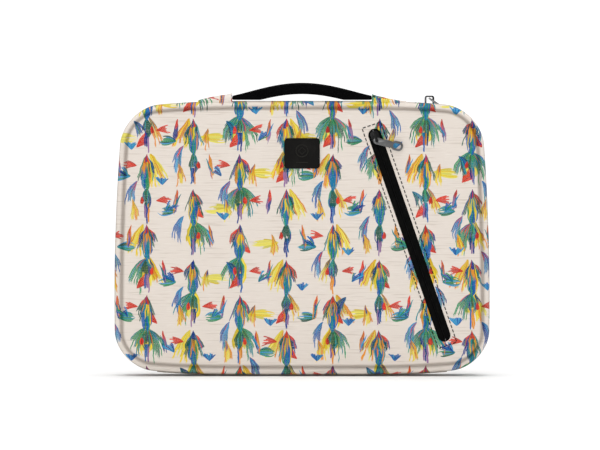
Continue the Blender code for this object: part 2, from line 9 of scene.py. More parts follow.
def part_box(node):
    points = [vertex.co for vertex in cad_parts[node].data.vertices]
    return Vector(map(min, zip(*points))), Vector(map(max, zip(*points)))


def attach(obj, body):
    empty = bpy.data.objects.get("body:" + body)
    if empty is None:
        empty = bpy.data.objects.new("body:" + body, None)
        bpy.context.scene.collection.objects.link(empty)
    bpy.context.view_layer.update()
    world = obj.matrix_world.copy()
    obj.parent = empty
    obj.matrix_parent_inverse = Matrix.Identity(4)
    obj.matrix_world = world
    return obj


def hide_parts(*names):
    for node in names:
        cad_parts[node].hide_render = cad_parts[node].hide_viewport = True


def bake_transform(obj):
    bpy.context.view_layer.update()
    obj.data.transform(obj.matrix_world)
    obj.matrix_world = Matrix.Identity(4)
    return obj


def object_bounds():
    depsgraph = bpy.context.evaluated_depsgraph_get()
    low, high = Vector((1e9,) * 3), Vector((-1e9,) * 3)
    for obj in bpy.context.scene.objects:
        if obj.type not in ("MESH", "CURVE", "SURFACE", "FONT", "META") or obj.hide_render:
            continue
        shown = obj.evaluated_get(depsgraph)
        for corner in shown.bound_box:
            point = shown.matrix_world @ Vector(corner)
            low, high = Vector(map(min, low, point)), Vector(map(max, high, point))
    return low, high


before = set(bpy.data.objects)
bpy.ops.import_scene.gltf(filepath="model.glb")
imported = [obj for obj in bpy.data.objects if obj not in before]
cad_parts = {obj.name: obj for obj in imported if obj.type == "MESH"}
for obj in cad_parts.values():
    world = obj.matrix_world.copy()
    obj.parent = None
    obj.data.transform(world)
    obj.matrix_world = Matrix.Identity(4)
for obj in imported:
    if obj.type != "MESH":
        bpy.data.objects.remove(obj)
frame_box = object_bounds()

MM = 0.001

# ---- sizes, from the frame where it has them
COVER_LOW, COVER_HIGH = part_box("front_cover")
CASE_LOW, CASE_TOP = COVER_LOW.z, COVER_HIGH.z
CASE_MIDDLE = (CASE_LOW + CASE_TOP) / 2
HALF_HEIGHT = (CASE_TOP - CASE_LOW) / 2
HALF_WIDTH = 175.2 * MM
FACE = -COVER_LOW.y
RIM = -COVER_HIGH.y
CORNER_RADIUS = 35.0 * MM
SIDE_TAPER = 3.4 * MM
SIDE_BOW = 3.6 * MM
END_BOW = 8.5 * MM
TRACK_LEVEL = HALF_WIDTH - CORNER_RADIUS
COVER_THICKNESS = 0.8 * MM
COVER_EDGE = 5.0 * MM
DOME = 0.7 * MM
DOME_MARGIN = 10 * MM
HALVES = ((-1, "front", "front_half"), (1, "back", "root"))

SHELL_INSET = 1.1 * MM
LINING_INSET = 5.4 * MM
BINDING_INSET = 6.7 * MM
TRACK_INSET = 3.2 * MM
TAPE_OUTER, TAPE_INNER, TAPE_FOLD, TAPE_LAP = 2.7 * MM, 4.3 * MM, 4.4 * MM, 3.0 * MM
COIL_DEPTH, COIL_LOOP, TEETH_PITCH = 1.55 * MM, (1.25 * MM, 1.9 * MM, 2.0 * MM), 1.7 * MM
GUSSET_SHARE, GUSSET_DROP, GUSSET_BEND = 0.72, 0.62 * MM, 4.6 * MM

HANDLE_LOW, HANDLE_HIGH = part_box("handle_grip")
HANDLE_Y = (HANDLE_LOW.y + HANDLE_HIGH.y) / 2
HALF_HANDLE = HANDLE_HIGH.x
HANDLE_END, HANDLE_RISE, HANDLE_CURVE = 5.0 * MM, 12.0 * MM, 1.15
HANDLE_DEPTH, HANDLE_CLEARANCE, HANDLE_HALF_WIDTH = 10.6 * MM, 0.95 * MM, 4.8 * MM
HANDLE_SQUARENESS = 2.7
SHOULDER_Y, SHOULDER_HALF_WIDTH, SHOULDER_SINK = -10.6 * MM, 6.1 * MM, 3.5 * MM
MOUTH_EASE, MOUTH_DEPTH = 0.35 * MM, 2.2 * MM

POCKET_LEAN = math.radians(-19.1)
POCKET_LENGTH = 211.2 * MM
POCKET_MOUTH = 13.0 * MM
POCKET_CENTRE = Vector((100.5 * MM, 0, 131.7 * MM))
POCKET_RIBBON, POCKET_RIBBON_LAP, POCKET_SINK = 9.2, 3.2 * MM, 1.4 * MM
STITCH_X, STITCH_Z, STITCH_PITCH = 9.2 * MM, 109.0 * MM, 4.45 * MM
POCKET_FRAME = Matrix.Translation(POCKET_CENTRE) @ Matrix.Rotation(POCKET_LEAN, 4, "Y")

PATCH_LOW, PATCH_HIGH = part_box("logo_patch")
PATCH_THICKNESS, PATCH_CORNER = 1.3 * MM, 3.3 * MM

ROOM, CEILING, BACKDROP = 0.3, 0.75, 1.1
CAMERA_DISTANCE, VIEW_WIDTH, SENSOR = 2.0, 0.5616, 36.0
CAMERA_X, CAMERA_Z = -1.9 * MM, 141.3 * MM


# ---- modelling by hand, in code
def alone(piece):
    """Make a piece the only one selected, and the active one."""
    bpy.ops.object.select_all(action="DESELECT")
    bpy.context.view_layer.objects.active = piece
    piece.select_set(True)


def smooth(degrees):
    bpy.ops.object.shade_smooth_by_angle(angle=math.radians(degrees))


def stretch(*size):
    bpy.ops.mesh.select_all(action="SELECT")
    bpy.ops.transform.resize(value=size)


def begin(add, **settings):
    """Add a primitive with nothing else selected and open it for editing."""
    bpy.ops.object.select_all(action="DESELECT")
    add(**settings)
    bpy.ops.object.mode_set(mode="EDIT")
    return bpy.context.object


def pick(kind, test):
    """Select the faces, edges or vertices whose middle and direction pass a test."""
    bpy.ops.mesh.select_all(action="DESELECT")
    bpy.ops.mesh.select_mode(type={"faces": "FACE", "edges": "EDGE", "verts": "VERT"}[kind])
    edited = bmesh.from_edit_mesh(bpy.context.object.data)
    for item in getattr(edited, kind):
        if kind == "verts":
            chosen = test(item.co)
        elif kind == "edges":
            chosen = test(item.verts[0].co, item.verts[1].co)
        else:
            chosen = test(item.calc_center_median(), item.normal)
        item.select_set(bool(chosen))
    bmesh.update_edit_mesh(bpy.context.object.data)


def slice_all(axis, places):
    """Cut the whole mesh across an axis at each place."""
    normal = [0, 0, 0]
    normal[axis] = 1
    for place in places:
        at = [0, 0, 0]
        at[axis] = place
        bpy.ops.mesh.select_all(action="SELECT")
        bpy.ops.mesh.bisect(plane_co=at, plane_no=normal)


def spread(low, high, count):
    return [low + (high - low) * (step + 1) / (count + 1) for step in range(count)]


def apply_modifier(piece, kind, **settings):
    alone(piece)
    change = piece.modifiers.new(kind, kind)
    for name, value in settings.items():
        setattr(change, name, value)
    bpy.ops.object.modifier_apply(modifier=change.name)


def close_up(piece, name, move=None, angle=35, flip=True):
    """Leave edit mode, put every point in its place and set the piece's origin to the world's."""
    bpy.ops.object.mode_set(mode="OBJECT")
    alone(piece)
    bpy.ops.object.transform_apply(location=True, rotation=True, scale=True)
    if move:
        for vertex in piece.data.vertices:
            vertex.co = move(vertex.co)
    if flip:
        outward(piece)
    if angle:
        smooth(angle)
    piece.name = piece.data.name = name
    return piece


def outward(piece):
    """Merge doubles and turn the faces out."""
    alone(piece)
    bpy.ops.object.mode_set(mode="EDIT")
    bpy.ops.mesh.select_all(action="SELECT")
    bpy.ops.mesh.remove_doubles(threshold=0.000004)
    bpy.ops.mesh.normals_make_consistent(inside=False)
    bpy.ops.object.mode_set(mode="OBJECT")


def join(pieces, name):
    bpy.ops.object.select_all(action="DESELECT")
    for piece in pieces:
        piece.select_set(True)
    bpy.context.view_layer.objects.active = pieces[0]
    bpy.ops.object.join()
    pieces[0].name = pieces[0].data.name = name
    return pieces[0]


def repeated(template, places, name):
    """Copies of one small piece at each place, as one mesh."""
    build = bmesh.new()
    for place in places:
        copy = template.data.copy()
        copy.transform(place)
        build.from_mesh(copy)
        bpy.data.meshes.remove(copy)
    mesh = bpy.data.meshes.new(name)
    build.to_mesh(mesh)
    build.free()
    made = bpy.data.objects.new(name, mesh)
    bpy.context.scene.collection.objects.link(made)
    bpy.data.objects.remove(template, do_unlink=True)
    return made


def cut(piece, tool, degrees):
    apply_modifier(piece, "BOOLEAN", object=tool, operation="DIFFERENCE", solver="EXACT")
    bpy.data.objects.remove(tool, do_unlink=True)
    smooth(degrees)


def lying_cylinder(vertices, end_ring, slices):
    """A unit cylinder along X with ringed end caps, cut into slices."""
    piece = begin(bpy.ops.mesh.primitive_cylinder_add, vertices=vertices, radius=1, depth=2,
                  rotation=(0, math.pi / 2, 0))
    bpy.ops.object.mode_set(mode="OBJECT")
    bpy.ops.object.transform_apply(location=True, rotation=True, scale=True)
    bpy.ops.object.mode_set(mode="EDIT")
    pick("faces", lambda centre, normal: abs(normal.x) > 0.9)
    bpy.ops.mesh.inset(thickness=end_ring, depth=0)
    slice_all(0, spread(-1, 1, slices))
    return piece


def dress(piece, look, body, replaces=()):
    """Give a piece its finish and the body that it moves with."""
    piece.data.materials.clear()
    piece.data.materials.append(look)
    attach(piece, body)
    if replaces:
        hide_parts(*replaces)
    return piece


# ---- the outline that all layers share
def side_ease(z):
    up = (z - CASE_MIDDLE) / HALF_HEIGHT
    return 1 - (SIDE_TAPER * up + SIDE_BOW * up * up) / HALF_WIDTH


def end_ease(x):
    return 1 - END_BOW * (x / HALF_WIDTH) ** 4 / HALF_HEIGHT


def eased(x, z, level=0.0):
    """Bow and taper the case; within level of the middle its top and bottom stay straight."""
    return x * side_ease(z), CASE_MIDDLE + (z - CASE_MIDDLE) * end_ease(max(abs(x), level))


FLAT_X = HALF_WIDTH - CORNER_RADIUS
FLAT_Z = HALF_HEIGHT - CORNER_RADIUS
ARC = math.pi / 2 * CORNER_RADIUS
LAPS = [FLAT_X, ARC, 2 * FLAT_Z, ARC, 2 * FLAT_X, ARC, 2 * FLAT_Z, ARC, FLAT_X]
AROUND = sum(LAPS)
ZIP_START = FLAT_X / AROUND
ZIP_END = 1 - ZIP_START


def case_edge(share):
    """Point and outward direction on the nominal outline, from the bottom middle counter-clockwise."""
    way = (share % 1.0) * AROUND
    corners = ((1, -1), (1, 1), (-1, 1), (-1, -1))
    ways = ((0, -1), (1, 0), (0, 1), (-1, 0), (0, -1), (1, 0))
    starts = ((0, -HALF_HEIGHT), (HALF_WIDTH, -FLAT_Z), (FLAT_X, HALF_HEIGHT), (-HALF_WIDTH, FLAT_Z),
              (-FLAT_X, -HALF_HEIGHT))
    for lap, length in enumerate(LAPS):
        if way <= length or lap == len(LAPS) - 1:
            break
        way -= length
    if lap % 2 == 0:
        normal, along = Vector(ways[lap // 2]), Vector(ways[lap // 2 + 1])
        return Vector(starts[lap // 2]) + along * way, normal
    sign_x, sign_z = corners[lap // 2]
    turn = math.radians(-90 + 90 * (lap // 2)) + way / CORNER_RADIUS
    normal = Vector((math.cos(turn), math.sin(turn)))
    return Vector((sign_x * FLAT_X, sign_z * FLAT_Z)) + CORNER_RADIUS * normal, normal


def on_case(share, inset, depth, level=0.0):
    point, normal = case_edge(share)
    point = point - normal * inset
    x, z = eased(point.x, point.y + CASE_MIDDLE, level)
    return Vector((x, depth, z))


def strip(name, shape, along, across, thickness):
    """A band that follows shape(a, b), with a along it and b across it from 0 to 1."""
    piece = begin(bpy.ops.mesh.primitive_grid_add, x_subdivisions=along, y_subdivisions=across, size=1,
                  location=(0.5, 0.5, 0))
    close_up(piece, name, lambda co: shape(co.x, co.y), angle=0)
    if thickness:
        apply_modifier(piece, "SOLIDIFY", thickness=thickness, offset=0.0, use_even_offset=True)
    outward(piece)
    smooth(40)
    return piece


# ---- shader expressions
def operator(operation, swapped=False):
    def apply(self, other):
        return self.look.maths(operation, *((other, self) if swapped else (self, other)))
    return apply


class Term:
    """A number that varies over a surface; maths written on it adds Math nodes."""

    def __init__(self, look, socket):
        self.look, self.socket = look, socket

    __add__ = __radd__ = operator("ADD")
    __sub__, __rsub__ = operator("SUBTRACT"), operator("SUBTRACT", True)
    __mul__ = __rmul__ = operator("MULTIPLY")
    __truediv__, __pow__ = operator("DIVIDE"), operator("POWER")
    __lt__, __gt__ = operator("LESS_THAN"), operator("GREATER_THAN")


class Shader:
    """A node tree, and short ways to add to it."""

    def __init__(self, tree):
        self.tree = tree

    def plug(self, value, socket):
        """Link a value to a socket, or set it there if it's plain."""
        value = value.socket if isinstance(value, Term) else value
        if isinstance(value, bpy.types.NodeSocket):
            self.tree.links.new(value, socket)
        else:
            socket.default_value = (*value, 1.0) if socket.type == "RGBA" else value

    def node(self, kind, settings=None, inputs=None):
        made = self.tree.nodes.new("ShaderNode" + kind)
        for name, value in (settings or {}).items():
            if name == "stops":
                self.set_stops(made.color_ramp, value)
            else:
                setattr(made, name, value)
        for name, value in (inputs or {}).items():
            self.plug(value, made.inputs[name])
        return made

    @staticmethod
    def set_stops(ramp, stops):
        ramp.interpolation = "CONSTANT"
        while len(ramp.elements) < len(stops):
            ramp.elements.new(0.5)
        for element, (place, colour) in zip(ramp.elements, stops):
            element.position = place
            element.color = (*colour, 1.0)

    def maths(self, operation, *values):
        made = self.node("Math", {"operation": operation}, dict(enumerate(values)))
        return Term(self, made.outputs[0])

    def smooth(self, value, low, high):
        made = self.node("MapRange", {"interpolation_type": "SMOOTHSTEP", "clamp": False},
                         {"Value": value, "From Min": low, "From Max": high})
        return Term(self, made.outputs[0])

    def vector(self, x, y, z=0.0):
        return self.node("CombineXYZ", None, {"X": x, "Y": y, "Z": z}).outputs[0]

    def axes(self, vector):
        parts = self.node("SeparateXYZ", None, {"Vector": vector}).outputs
        return [Term(self, part) for part in parts]

    def noise(self, vector, scale, detail=2.0, roughness=0.5):
        made = self.node("TexNoise", None, {"Vector": vector, "Scale": scale, "Detail": detail,
                                            "Roughness": roughness})
        return Term(self, made.outputs["Fac"])

    def chance(self, number):
        made = self.node("TexWhiteNoise", {"noise_dimensions": "1D"}, {"W": number})
        return Term(self, made.outputs["Value"])

    def palette(self, value, colours):
        stops = [(k / len(colours), colour) for k, colour in enumerate(colours)]
        return self.node("ValToRGB", {"stops": stops}, {"Fac": value}).outputs["Color"]

    def mix(self, factor, one, other, blend="MIX"):
        """Blend two colours. A Mix node's inputs 6 and 7 and its output 2 are the coloured ones."""
        made = self.node("Mix", {"data_type": "RGBA", "blend_type": blend}, {0: factor, 6: one, 7: other})
        return made.outputs[2]


class Look(Shader):
    """One material and the nodes that make its finish."""

    def __init__(self, name, **plain):
        self.material = bpy.data.materials.new(name)
        self.material.use_nodes = True
        super().__init__(self.material.node_tree)
        self.surface = self.tree.nodes["Principled BSDF"]
        for name, value in plain.items():
            self.feed(name.replace("_", " "), value)

    def feed(self, name, value):
        self.plug(value, self.surface.inputs[name])

    def tint(self, value, low, high, one, other):
        self.feed("Base Color", self.mix(self.smooth(value, low, high), one, other))

    def bump(self, height, strength, distance):
        made = self.node("Bump", None, {"Height": height, "Strength": strength, "Distance": distance})
        self.feed("Normal", made.outputs[0])

    def place(self, output="Object"):
        return self.node("TexCoord").outputs[output]

    def cloth(self):
        """Place on the cloth, in millimetres."""
        flat = self.node("UVMap", {"uv_map": "cloth"}).outputs[0]
        return self.node("VectorMath", {"operation": "SCALE"}, {0: flat, "Scale": 1000.0}).outputs[0]


def srgb(red, green, blue):
    """Linear colour of an 8-bit display colour."""
    def line(value):
        value /= 255
        return value / 12.92 if value <= 0.04045 else ((value + 0.055) / 1.055) ** 2.4
    return line(red), line(green), line(blue)


# ---- canvas and its crayon print
CREAM = srgb(228, 218, 208)
BLUE, NAVY, SKY = srgb(28, 104, 176), srgb(24, 56, 138), srgb(52, 152, 204)
FIR, GREEN, TEAL = srgb(26, 92, 74), srgb(46, 150, 100), srgb(32, 140, 150)
RED, BRICK, ORANGE = srgb(226, 62, 42), srgb(190, 52, 44), srgb(228, 146, 44)
YELLOW, LEMON, MAUVE = srgb(238, 208, 44), srgb(238, 226, 96), srgb(150, 110, 160)
COLUMN = 43.5
DROP = 66.0
TASSEL_TIP = 32.0


class Print:
    """Loose crayon strokes laid out on a half-drop grid. Lengths are in millimetres of cloth."""

    def __init__(self, look, ground):
        self.look, self.colour = look, ground
        spot = look.cloth()
        u, self.v, _ = look.axes(spot)
        self.grain = look.noise(spot, 1.6, 3.0, 0.7) - 0.5
        self.u = u + (look.noise(spot, 0.13, 1.0) - 0.5) * 3.0

    def grid(self, shift_u, shift_v, seed):
        """Cell coordinates and a number for each cell, every other column dropped by half a repeat."""
        look = self.look
        across = (self.u - shift_u) / COLUMN
        column = look.maths("FLOOR", across)
        odd = look.maths("FLOORED_MODULO", column, 2.0)
        down = (self.v - shift_v) / DROP + odd * 0.5
        row = look.maths("FLOOR", down)
        key = column * 13.17 + row * 71.31 + seed * 5.3
        luck = look.chance(key)
        hand = (luck > 0.5) * 2.0 - 1.0
        return {"x": (across - column - 0.5) * COLUMN * hand, "z": (down - row - 0.5) * DROP, "key": key,
                "luck": look.maths("FRACT", luck * 23.0)}

    def strokes(self, cell, at, angle, length, width, count, colours, late, shape, fill, fray, droop=0.0,
                share=(0.0, 1.0), seed=0.0):
        """A bundle of strokes from one point, running down at an angle: a fan, a leaf or straight lines."""
        group = bpy.data.node_groups.new("crayon_strokes", "ShaderNodeTree")
        for name in ("x", "z", "key", "luck", "grain"):
            group.interface.new_socket(name, in_out="INPUT", socket_type="NodeSocketFloat")
        group.interface.new_socket("under", in_out="INPUT", socket_type="NodeSocketColor")
        group.interface.new_socket("over", in_out="OUTPUT", socket_type="NodeSocketColor")
        ink = Shader(group)
        given = group.nodes.new("NodeGroupInput").outputs
        cell_x, cell_z, cell_key, cell_luck, grain = [Term(ink, given[k]) for k in range(5)]

        x, z = cell_x - at[0], at[1] - cell_z
        turn = math.radians(angle)
        lateral = x * math.cos(turn) - z * math.sin(turn)
        run = x * math.sin(turn) + z * math.cos(turn)
        if droop:
            lateral = lateral + run * run * (math.copysign(droop, angle) / length)
        t = run / length
        safe = ink.maths("MAXIMUM", t, 0.002)
        if shape == "straight":
            half = width / 2
        elif shape == "drop":
            half = ink.maths("MAXIMUM", (1.0 - safe * safe * safe) * (safe ** 0.7) * (1.45 * width / 2), 0.05)
        else:
            half = safe ** 0.8 * (width / 2)
        side = lateral / half
        lane = (side * 0.5 + 0.5) * count
        number = ink.maths("FLOOR", lane)
        luck = ink.chance(number * 3.71 + cell_key + seed * 0.37)
        again = ink.maths("FRACT", luck * 17.0)
        beside = ink.maths("ABSOLUTE", lane - number - 0.5)
        narrow = safe * (0.5 * (1.0 - fill)) * (again * 0.8 + 0.8)
        body = ink.smooth(0.53 - narrow + grain * 0.5 * safe - beside, -0.03, 0.08)
        ends = ink.smooth(1.0 - again * fray + grain * 0.3 - t, 0.0, 0.05)
        mask = body * ends * (ink.maths("ABSOLUTE", side) < 1.0) * (t > 0.01)
        if share != (0.0, 1.0):
            mask = mask * (cell_luck > share[0]) * (cell_luck < share[1])
        colour = ink.palette(luck, colours)
        if late:
            further = ink.smooth(t + grain * 0.5 + again * 0.25, 0.42, 0.56)
            colour = ink.mix(further, colour, ink.palette(luck, late))
        colour = ink.mix(again * 0.35, colour, srgb(20, 40, 60), "MULTIPLY")
        over = ink.mix(mask, given[5], colour)
        group.links.new(over, group.nodes.new("NodeGroupOutput").inputs[0])

        placed = self.look.node("Group", {"node_tree": group},
                                {**cell, "grain": self.grain, "under": self.colour})
        self.colour = placed.outputs[0]


def canvas(name, printed):
    look = Look(name, Roughness=0.88, Sheen_Weight=0.06, Sheen_Roughness=0.5, Specular_IOR_Level=0.2)
    u, v, _ = look.axes(look.cloth())
    slub = look.noise(look.vector(u * 0.085, v * 1.15), 1.0, 3.0, 0.6)
    long_slub = look.noise(look.vector(u * 0.03, v * 0.7, 9.0), 1.0, 2.0)
    threads = look.maths("SINE", v * (math.tau / 0.55)) * look.maths("SINE", u * (math.tau / 0.5))
    streak = look.smooth(slub, 0.52, 0.7)
    dark = look.smooth(long_slub, 0.55, 0.7)
    ground = look.mix(streak * 0.6, CREAM, srgb(238, 230, 222))
    ground = look.mix(dark * 0.6, ground, srgb(202, 189, 176))
    if printed:
        design = Print(look, ground)
        draw_print(design)
        ground = look.mix(streak * 0.1, design.colour, CREAM)
    # Painted shade: the canvas colour is darkened along the pressed groove, about 7 mm inside the outline, and
    # in a narrow band at the outline itself. This stands in for the shade in the groove and on the edges that
    # turn from the light.
    inside = Term(look, look.node("Attribute", {"attribute_name": "edge"}).outputs["Fac"]) * 1000.0
    pressed = 1.0 - look.smooth(look.maths("ABSOLUTE", inside - 7.0), 0.5, 3.4)
    rim = 1.0 - look.smooth(inside, 0.2, 1.8)
    ground = look.mix(pressed * 0.5 + rim * 0.42, ground, srgb(116, 104, 96), "MULTIPLY")
    look.feed("Base Color", ground)
    look.bump(slub * 0.5 + long_slub * 0.3 + threads * 0.12, 0.4, 0.0003)
    return look.material


def draw_print(design):
    """Palm tassels in columns, with loose feathers, sprigs and washes of colour between them."""
    draw = design.strokes
    chain = design.grid(7.0, 10.0, 1.0)
    between = design.grid(7.0 + COLUMN / 2, 10.0 + DROP * 0.3, 2.0)
    accents = design.grid(7.0 + COLUMN / 2, 10.0 + DROP * 0.8, 3.0)
    warm = (YELLOW, ORANGE, LEMON, YELLOW, ORANGE)
    leaves = (FIR, GREEN, TEAL, GREEN, GREEN)
    blues = (BLUE, SKY, NAVY, BLUE, TEAL)
    reds = (RED, BRICK, RED, RED)

    # Washes lie under the rest.
    draw(chain, (0.0, 5.0), 5, 32, 21, 10, (YELLOW, LEMON, YELLOW), None, "drop", 0.95, 0.35,
                   share=(0.0, 0.72), seed=1.0)
    draw(between, (-15.0, -4.0), 86, 29, 12, 8, (LEMON, YELLOW, LEMON), None, "drop", 0.9, 0.5,
                   share=(0.55, 0.95), seed=2.0)
    draw(chain, (-3.0, 34.0), -24, 33, 20, 11, warm, None, "fan", 0.86, 0.4, 0.1, share=(0.5, 0.95),
                   seed=3.0)

    # Drooping fronds at both sides of the small tassel.
    draw(chain, (1.0, 2.0), 50, 27, 20, 12, leaves, (TEAL, GREEN, FIR, GREEN), "fan", 0.74, 0.45, 0.5,
                   share=(0.0, 0.45), seed=4.0)
    draw(chain, (-1.0, 1.0), -46, 28, 20, 12, (TEAL, RED, GREEN, FIR, BLUE), leaves, "fan", 0.74, 0.45, 0.5,
                   share=(0.12, 0.66), seed=5.0)
    draw(chain, (2.0, 2.0), 27, 29, 11, 8, (ORANGE, NAVY, YELLOW, FIR), warm, "fan", 0.82, 0.4, 0.15,
                   share=(0.4, 0.9), seed=6.0)

    # Feathers and leaves between the columns.
    draw(between, (-13.0, 21.0), 42, 25, 15, 9, (SKY, RED, NAVY, BLUE, SKY), blues, "fan", 0.72, 0.4, 0.55,
                   share=(0.0, 0.62), seed=7.0)
    draw(between, (12.0, -14.0), 138, 22, 17, 11, reds, None, "fan", 0.84, 0.4, 0.25, share=(0.34, 1.0),
                   seed=8.0)
    draw(between, (-8.0, 4.0), -18, 21, 11, 8, (ORANGE, YELLOW, NAVY, ORANGE), warm, "fan", 0.82, 0.35, 0.2,
                   share=(0.15, 0.9), seed=9.0)
    draw(between, (-6.0, 25.0), 98, 18, 12, 8, (TEAL, GREEN, SKY, FIR, GREEN), None, "drop", 0.85, 0.4, 0.15,
                   share=(0.0, 0.5), seed=10.0)
    draw(between, (9.0, 11.0), 52, 17, 14, 9, (NAVY, BLUE, FIR, TEAL), None, "fan", 0.8, 0.4, 0.5,
                   share=(0.66, 1.0), seed=11.0)

    # The column itself: a small green tassel with its thin trunk, and a big tassel.
    draw(chain, (0.0, -13.0), 0, 20, 4.6, 3, (BLUE, MAUVE, ORANGE, NAVY), None, "straight", 0.8, 0.45,
                   seed=12.0)
    draw(chain, (0.0, 1.0), 0, 21, 11.5, 8, (FIR, GREEN, TEAL, FIR), (FIR, TEAL, NAVY, FIR), "drop", 0.86,
                   0.4, seed=13.0)
    draw(chain, (4.6, -7.0), 3, 8, 4.6, 3, (RED, BRICK), None, "drop", 1.0, 0.2, seed=14.0)
    draw(chain, (1.0, TASSEL_TIP - 3), 40, 17, 13, 9, reds, (NAVY, BRICK, FIR), "fan", 0.8, 0.35,
                   0.5, share=(0.0, 0.85), seed=15.0)
    draw(chain, (-1.0, TASSEL_TIP - 4), -38, 15, 10, 7, (NAVY, FIR, BLUE), (NAVY, BLUE, FIR), "fan", 0.8,
                   0.35, 0.5, share=(0.5, 1.0), seed=24.0)
    draw(chain, (0.0, TASSEL_TIP), 0, 25, 21, 15, (FIR, NAVY, GREEN, FIR, TEAL), None, "fan", 0.66, 0.45,
                   seed=16.0)
    draw(chain, (0.0, TASSEL_TIP - 1), 1, 34, 12.5, 9, (ORANGE, TEAL, YELLOW, ORANGE, FIR),
                   (TEAL, BLUE, YELLOW, GREEN, BLUE, ORANGE), "drop", 0.9, 0.25, seed=17.0)
    draw(chain, (0.2, TASSEL_TIP - 18), 0, 17, 6.5, 5, (BLUE, TEAL, GREEN, BLUE), None, "drop", 0.95, 0.2,
                   seed=18.0)
    draw(chain, (0.0, TASSEL_TIP + 1), 0, 10, 5.0, 4, (NAVY, RED, NAVY, BRICK), None, "fan", 0.95, 0.3,
                   seed=19.0)

    # Small loose accents.
    draw(accents, (-7.0, 17.0), 180, 8, 15, 8, (SKY, BLUE, SKY), None, "fan", 0.95, 0.3, share=(0.0, 0.45),
                   seed=20.0)
    draw(accents, (-13.0, 2.0), 104, 14, 11, 8, reds, None, "fan", 0.84, 0.4, 0.2, share=(0.15, 1.0),
                   seed=21.0)
    draw(accents, (7.0, 13.0), -8, 25, 5.4, 4, (RED, ORANGE, BRICK), (NAVY, ORANGE, MAUVE), "drop", 0.85,
                   0.3, seed=22.0)
    draw(accents, (10.0, 9.0), -24, 17, 2.0, 1, (SKY, TEAL), None, "drop", 0.95, 0.2, share=(0.0, 0.9),
                   seed=23.0)
    draw(accents, (-4.0, -8.0), 150, 12, 12, 7, (BLUE, SKY, NAVY, GREEN), None, "fan", 0.85, 0.4, 0.3,
                   share=(0.3, 0.9), seed=25.0)


# ---- other finishes
def plain_weave(name, colour, darker, pitch, roughness=0.85):
    """Woven tape: two crossing thread waves with a little colour drift."""
    look = Look(name, Roughness=roughness, Sheen_Weight=0.1, Specular_IOR_Level=0.3)
    place = look.place()
    x, y, z = look.axes(place)
    turn = math.tau / pitch
    weave = look.maths("SINE", (x + z) * turn) * look.maths("SINE", (y * 1.4 + z - x) * turn)
    drift = look.noise(place, 260.0, 3.0, 0.6)
    look.tint(weave * 0.35 + drift, 0.35, 0.85, darker, colour)
    look.bump(weave * 0.5 + drift * 0.6, 0.5, 0.00025)
    return look.material


def fleece(name, colour, paler):
    look = Look(name, Roughness=0.97, Sheen_Weight=0.5, Sheen_Roughness=0.4, Specular_IOR_Level=0.15)
    place = look.place()
    pile = look.noise(place, 900.0, 4.0, 0.75)
    patches = look.noise(place, 28.0, 3.0, 0.6)
    look.tint(pile * 0.6 + patches * 0.4, 0.3, 0.7, colour, paler)
    look.bump(pile + patches * 0.4, 0.6, 0.0005)
    return look.material


def foam(name):
    look = Look(name, Base_Color=srgb(40, 40, 42), Roughness=0.85)
    place = look.place()
    cells = look.node("TexVoronoi", None, {"Vector": place, "Scale": 1500.0}).outputs["Distance"]
    shade = look.mix(Term(look, cells), srgb(34, 34, 36), srgb(50, 50, 52))
    look.feed("Base Color", shade)
    look.bump(Term(look, cells), 0.4, 0.0002)
    return look.material


def metal(name, colour, roughness, brushed, wear):
    look = Look(name, Metallic=1.0)
    place = look.place()
    x, y, z = look.axes(place)
    lines = look.noise(look.vector(x * 60.0, y * 1500.0, z * 900.0), 1.0, 3.0, 0.6)
    blotches = look.noise(place, 380.0, 3.0, 0.6)
    worn = look.smooth(blotches, 0.55, 0.8)
    bare = tuple(min(1.0, 1.6 * part + 0.02) for part in colour)
    look.feed("Base Color", look.mix(worn * wear, colour, bare))
    look.feed("Roughness", roughness + lines * brushed + (blotches - 0.5) * 0.12)
    look.bump(lines, 0.08, 0.0001)
    return look.material


def rubber(name, colour):
    look = Look(name, Specular_IOR_Level=0.07)
    place = look.place()
    grain = look.noise(place, 1600.0, 3.0, 0.6)
    dust = look.noise(place, 90.0, 4.0, 0.6)
    look.feed("Base Color", look.mix(look.smooth(dust, 0.45, 0.75) * 0.6, colour, srgb(30, 29, 27)))
    look.feed("Roughness", 0.5 + grain * 0.25)
    look.bump(grain, 0.25, 0.00012)
    return look.material


def coated(name):
    """Water-resistant tape: smooth black film with the weave just showing through."""
    look = Look(name, Specular_IOR_Level=0.04)
    place = look.place()
    x, y, z = look.axes(place)
    weave = look.maths("SINE", x * 9000.0) * look.maths("SINE", z * 9000.0)
    film = look.noise(place, 240.0, 3.0, 0.55)
    look.tint(film, 0.4, 0.75, srgb(5, 5, 5), srgb(14, 14, 13))
    look.feed("Roughness", 0.5 + film * 0.25)
    look.bump(weave * 0.3 + film, 0.2, 0.0001)
    return look.material


def webbing(name):
    """Black padded handle cover: fine ribs along it and lint-like flecks."""
    look = Look(name, Roughness=0.74, Specular_IOR_Level=0.03)
    place = look.place()
    x, y, z = look.axes(place)
    ribs = look.maths("SINE", x * 7800.0) * look.maths("SINE", (y + z) * 5200.0)
    flecks = look.noise(place, 1100.0, 3.0, 0.65)
    drift = look.noise(place, 60.0, 2.0)
    tone = look.mix(look.smooth(flecks, 0.5, 0.85), srgb(3, 3, 4), srgb(30, 30, 32))
    look.feed("Base Color", look.mix(look.smooth(drift, 0.3, 0.8) * 0.5, tone, srgb(5, 5, 6)))
    look.bump(ribs * 0.4 + flecks * 0.8, 0.45, 0.0002)
    return look.material


